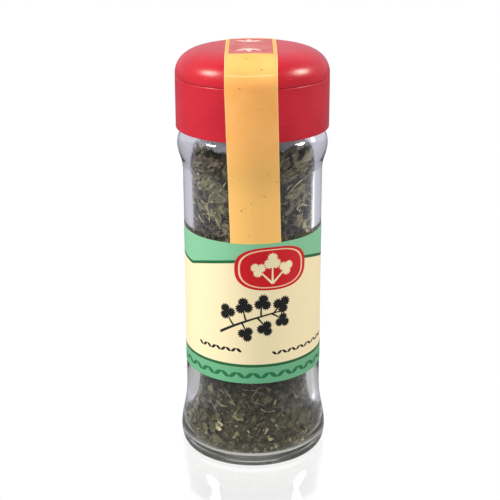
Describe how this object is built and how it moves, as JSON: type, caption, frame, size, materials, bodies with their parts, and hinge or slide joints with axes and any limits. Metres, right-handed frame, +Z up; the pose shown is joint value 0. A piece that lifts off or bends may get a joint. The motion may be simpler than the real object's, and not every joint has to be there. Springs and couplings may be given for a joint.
{
  "type": "spice jar of dried parsley",
  "caption": "Glass spice jar of dried parsley flakes with a hinged dome lid, sifter deck, wrapped paper label and paper seal strip.",
  "frame": {"origin": "centre of the base ring, on the surface that the jar stands on", "axes": "+Z up along the jar's axis, the front of the label faces -Y, the lid's hinge is at +Y"},
  "size_m": [0.0446, 0.045, 0.1229],
  "materials": {
    "clear_glass": "clear colourless soda-lime glass, smooth and shiny",
    "red_plastic": "red moulded polypropylene with a satin sheen, faint scuffs and a hairline seam",
    "label_paper": "satin printed paper, pale green bands round a cream panel",
    "strip_paper": "uncoated yellow-orange paper with fine specks, a fold and pale cut edges",
    "dried_leaf": "dry matt olive-brown leaf flakes with paler stems"
  },
  "bodies": {
    "jar_body": {"jar": "clear_glass", "cap_base": "red_plastic", "label": "label_paper", "seal_strip_front": "strip_paper", "seal_strip_back": "strip_paper", "dried_parsley": "dried_leaf"},
    "lid_body": {"flip_lid": "red_plastic", "seal_strip_lid": "strip_paper"}
  },
  "joints": [
    {"name": "lid_hinge", "type": "hinge", "parent": "jar_body", "child": "lid_body", "pos_m": [0, 0.0226, 0.11435], "axis": [-1, 0, 0], "range_deg": [0, 130]}
  ]
}
